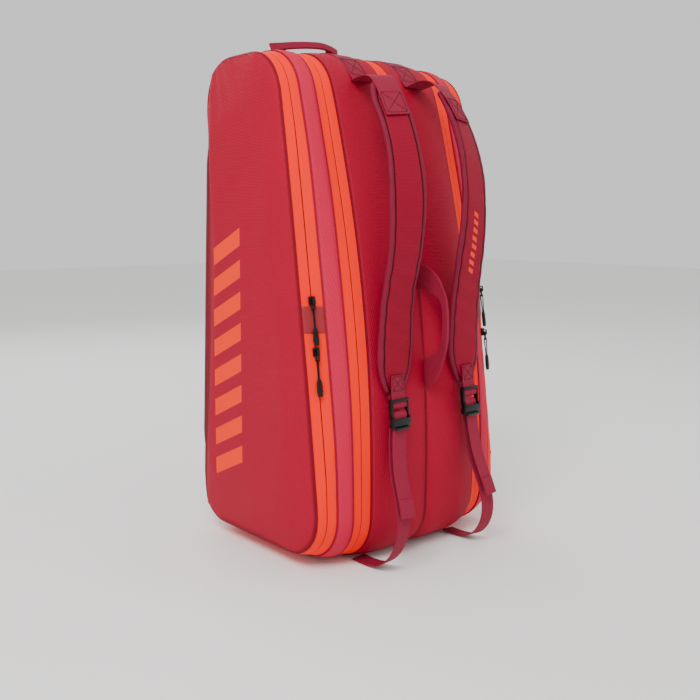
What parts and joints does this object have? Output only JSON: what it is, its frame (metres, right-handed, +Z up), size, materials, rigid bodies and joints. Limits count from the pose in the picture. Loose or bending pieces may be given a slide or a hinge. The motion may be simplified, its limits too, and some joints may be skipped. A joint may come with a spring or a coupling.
{
  "type": "racket tournament bag",
  "caption": "Upright padded racket bag with zipped side compartments and outer pockets, two shoulder straps, a carry handle and a top handle.",
  "frame": {"origin": "on the floor at the middle of the base", "axes": "+Z up, shoulder straps on the -Y side, outer pockets on -X and +X"},
  "size_m": [0.4112, 0.4065, 0.8016],
  "materials": {
    "panel_fabric": "woven",
    "band_fabric": "woven",
    "shell_fabric": "woven",
    "zip_tape": "smooth",
    "lining": "smooth",
    "webbing": "woven",
    "pad_fabric": "woven",
    "binding": "woven",
    "black_acetal": "matte",
    "black_zinc": "satin",
    "pull_cord": "braided"
  },
  "bodies": {
    "centre_body": {"base_panel": "panel_fabric", "rear_panel": "panel_fabric", "dividers": "lining", "centre_zip_tapes": "zip_tape", "left_strap_panel": "panel_fabric", "left_main_zip_inner_tape": "zip_tape", "left_anchor_webbing": "webbing", "left_lower_webbing": "webbing", "right_strap_panel": "panel_fabric", "right_main_zip_inner_tape": "zip_tape", "right_anchor_webbing": "webbing", "right_lower_webbing": "webbing"},
    "left_main_lid": {"left_band_panel": "band_fabric", "left_main_zip_outer_tape": "zip_tape", "left_pocket_zip_inner_tape": "zip_tape", "left_pocket_wall": "lining", "left_zip_garage": "binding"},
    "left_pocket_lid": {"left_pocket_shell": "shell_fabric", "left_pocket_zip_outer_tape": "zip_tape", "left_pocket_piping": "binding"},
    "left_shoulder_strap": {"left_strap_webbing": "webbing", "left_shoulder_pad": "pad_fabric", "left_buckle_loop": "webbing"},
    "left_buckle": {"left_ladder_lock": "black_acetal"},
    "left_pocket_zip_upper_slider": {"left_pocket_zip_upper_slider": "black_zinc"},
    "left_pocket_zip_upper_pull": {"left_pocket_zip_upper_pull": "black_acetal", "left_pocket_zip_upper_pull_cord": "pull_cord"},
    "left_pocket_zip_lower_slider": {"left_pocket_zip_lower_slider": "black_zinc"},
    "left_pocket_zip_lower_pull": {"left_pocket_zip_lower_pull": "black_acetal", "left_pocket_zip_lower_pull_cord": "pull_cord"},
    "left_main_zip_slider": {"left_main_zip_slider": "black_zinc"},
    "left_main_zip_pull": {"left_main_zip_pull": "black_acetal", "left_main_zip_pull_cord": "pull_cord"},
    "right_main_lid": {"right_band_panel": "band_fabric", "right_main_zip_outer_tape": "zip_tape", "right_pocket_zip_inner_tape": "zip_tape", "right_pocket_wall": "lining", "right_zip_garage": "binding"},
    "right_pocket_lid": {"right_pocket_shell": "shell_fabric", "right_pocket_zip_outer_tape": "zip_tape", "right_pocket_piping": "binding"},
    "right_shoulder_strap": {"right_strap_webbing": "webbing", "right_shoulder_pad": "pad_fabric", "right_buckle_loop": "webbing"},
    "right_buckle": {"right_ladder_lock": "black_acetal"},
    "right_pocket_zip_upper_slider": {"right_pocket_zip_upper_slider": "black_zinc"},
    "right_pocket_zip_upper_pull": {"right_pocket_zip_upper_pull": "black_acetal", "right_pocket_zip_upper_pull_cord": "pull_cord"},
    "right_pocket_zip_lower_slider": {"right_pocket_zip_lower_slider": "black_zinc"},
    "right_pocket_zip_lower_pull": {"right_pocket_zip_lower_pull": "black_acetal", "right_pocket_zip_lower_pull_cord": "pull_cord"},
    "right_main_zip_slider": {"right_main_zip_slider": "black_zinc"},
    "right_main_zip_pull": {"right_main_zip_pull": "black_acetal", "right_main_zip_pull_cord": "pull_cord"},
    "centre_zip_slider": {"centre_zip_slider": "black_zinc"},
    "centre_zip_pull": {"centre_zip_pull": "black_acetal", "centre_zip_pull_cord": "pull_cord"},
    "top_handle": {"top_handle": "webbing"},
    "carry_handle": {"carry_handle": "webbing"}
  },
  "joints": [
    {"name": "left_main_lid_hinge", "type": "hinge", "parent": "centre_body", "child": "left_main_lid", "pos_m": [-0.125, 0.176, 0], "axis": [-0.0051, 0.0629, -0.998], "range_deg": [0, 70]},
    {"name": "left_pocket_lid_hinge", "type": "hinge", "parent": "left_main_lid", "child": "left_pocket_lid", "pos_m": [-0.18, 0.173, 0], "axis": [-0.0073, 0.0629, -0.998], "range_deg": [0, 70]},
    {"name": "left_shoulder_strap_fold", "type": "hinge", "parent": "centre_body", "child": "left_shoulder_strap", "pos_m": [-0.057, -0.099, 0.713], "axis": [-1, 0, 0], "range_deg": [0, 18], "deforming": ["left_lower_webbing"]},
    {"name": "left_buckle_swing", "type": "hinge", "parent": "left_shoulder_strap", "child": "left_buckle", "pos_m": [-0.076, -0.201, 0.247], "axis": [-1, 0, 0], "range_deg": [0, 25]},
    {"name": "left_pocket_zip_upper_run", "type": "slide", "parent": "left_main_lid", "child": "left_pocket_zip_upper_slider", "axis": [0.0072, 0.1493, 0.9888], "range_m": [0, 0.14]},
    {"name": "left_pocket_zip_upper_pull_hinge", "type": "hinge", "parent": "left_pocket_zip_upper_slider", "child": "left_pocket_zip_upper_pull", "pos_m": [-0.17884, -0.13411, 0.39942], "axis": [-0.9363, 0.3483, -0.0458], "range_deg": [0, 150]},
    {"name": "left_pocket_zip_lower_run", "type": "slide", "parent": "left_main_lid", "child": "left_pocket_zip_lower_slider", "axis": [-0.0073, -0.1258, -0.992], "range_m": [0, 0.14]},
    {"name": "left_pocket_zip_lower_pull_hinge", "type": "hinge", "parent": "left_pocket_zip_lower_slider", "child": "left_pocket_zip_lower_pull", "pos_m": [-0.17929, -0.14415, 0.32731], "axis": [-0.9416, 0.3348, -0.0356], "range_deg": [0, 90]},
    {"name": "left_main_zip_run", "type": "slide", "parent": "centre_body", "child": "left_main_zip_slider", "axis": [0, -1, 0], "range_m": [0, 0.03]},
    {"name": "left_main_zip_pull_hinge", "type": "hinge", "parent": "left_main_zip_slider", "child": "left_main_zip_pull", "pos_m": [-0.12112, 0.0423, 0.766], "axis": [1, 0, 0], "range_deg": [0, 150]},
    {"name": "right_main_lid_hinge", "type": "hinge", "parent": "centre_body", "child": "right_main_lid", "pos_m": [0.125, 0.176, 0], "axis": [-0.0051, -0.0629, 0.998], "range_deg": [0, 70]},
    {"name": "right_pocket_lid_hinge", "type": "hinge", "parent": "right_main_lid", "child": "right_pocket_lid", "pos_m": [0.18, 0.173, 0], "axis": [-0.0073, -0.0629, 0.998], "range_deg": [0, 70]},
    {"name": "right_shoulder_strap_fold", "type": "hinge", "parent": "centre_body", "child": "right_shoulder_strap", "pos_m": [0.057, -0.099, 0.713], "axis": [-1, 0, 0], "range_deg": [0, 18], "deforming": ["right_lower_webbing"]},
    {"name": "right_buckle_swing", "type": "hinge", "parent": "right_shoulder_strap", "child": "right_buckle", "pos_m": [0.076, -0.201, 0.247], "axis": [-1, 0, 0], "range_deg": [0, 25]},
    {"name": "right_pocket_zip_upper_run", "type": "slide", "parent": "right_main_lid", "child": "right_pocket_zip_upper_slider", "axis": [-0.0072, 0.1493, 0.9888], "range_m": [0, 0.14]},
    {"name": "right_pocket_zip_upper_pull_hinge", "type": "hinge", "parent": "right_pocket_zip_upper_slider", "child": "right_pocket_zip_upper_pull", "pos_m": [0.17884, -0.13411, 0.39942], "axis": [-0.9363, -0.3483, 0.0458], "range_deg": [0, 150]},
    {"name": "right_pocket_zip_lower_run", "type": "slide", "parent": "right_main_lid", "child": "right_pocket_zip_lower_slider", "axis": [0.0073, -0.1258, -0.992], "range_m": [0, 0.14]},
    {"name": "right_pocket_zip_lower_pull_hinge", "type": "hinge", "parent": "right_pocket_zip_lower_slider", "child": "right_pocket_zip_lower_pull", "pos_m": [0.17929, -0.14415, 0.32731], "axis": [-0.9416, -0.3348, 0.0356], "range_deg": [0, 90]},
    {"name": "right_main_zip_run", "type": "slide", "parent": "centre_body", "child": "right_main_zip_slider", "axis": [0, -1, 0], "range_m": [0, 0.03]},
    {"name": "right_main_zip_pull_hinge", "type": "hinge", "parent": "right_main_zip_slider", "child": "right_main_zip_pull", "pos_m": [0.12112, 0.0423, 0.766], "axis": [1, 0, 0], "range_deg": [0, 150]},
    {"name": "centre_zip_run", "type": "slide", "parent": "centre_body", "child": "centre_zip_slider", "axis": [0, -1, 0], "range_m": [0, 0.03]},
    {"name": "centre_zip_pull_hinge", "type": "hinge", "parent": "centre_zip_slider", "child": "centre_zip_pull", "pos_m": [0, 0.0423, 0.765], "axis": [1, 0, 0], "range_deg": [0, 150]},
    {"name": "top_handle_hinge", "type": "hinge", "parent": "centre_body", "child": "top_handle", "pos_m": [0, 0.072, 0.7635], "axis": [1, 0, 0], "range_deg": [-30, 100]},
    {"name": "carry_handle_hinge", "type": "hinge", "parent": "centre_body", "child": "carry_handle", "pos_m": [0, -0.18531, 0.256], "axis": [0, 0.1241, 0.9923], "range_deg": [-25, 25]}
  ]
}
